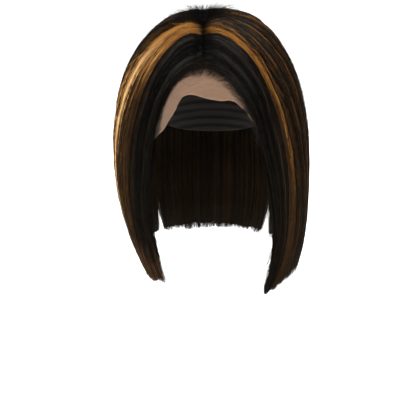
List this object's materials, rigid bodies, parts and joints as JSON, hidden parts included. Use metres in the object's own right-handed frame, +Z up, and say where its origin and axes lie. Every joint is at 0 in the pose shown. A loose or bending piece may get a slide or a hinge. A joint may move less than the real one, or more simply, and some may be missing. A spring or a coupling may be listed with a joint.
{
  "type": "lace front wig",
  "caption": "Straight bob wig with an off-centre parting and honey highlights, on a lace front with a hand-cut edge and a stretch cap.",
  "frame": {"origin": "inside of the cap at its crown, where the head carries it", "axes": "+Z up, -Y out of the face opening, +X to the right of a viewer who faces the wig"},
  "size_m": [0.22, 0.2044, 0.2994],
  "materials": {
    "lace": "sheer tan net",
    "cap": "dark stretch knit",
    "hair_black": "straight black-brown hair with a soft sheen",
    "hair_brown": "straight dark brown hair with a soft sheen",
    "hair_honey": "straight honey-blond hair with a soft sheen"
  },
  "bodies": {
    "root": {"lace_front": "lace", "wig_cap": "cap", "hair_front_left": "hair_black", "highlight_left": "hair_honey", "hair_side_left": "hair_brown", "hair_back_left": "hair_brown", "hair_front_right": "hair_black", "highlight_right": "hair_honey", "hair_side_right": "hair_brown", "hair_back_right": "hair_brown"}
  },
  "joints": []
}
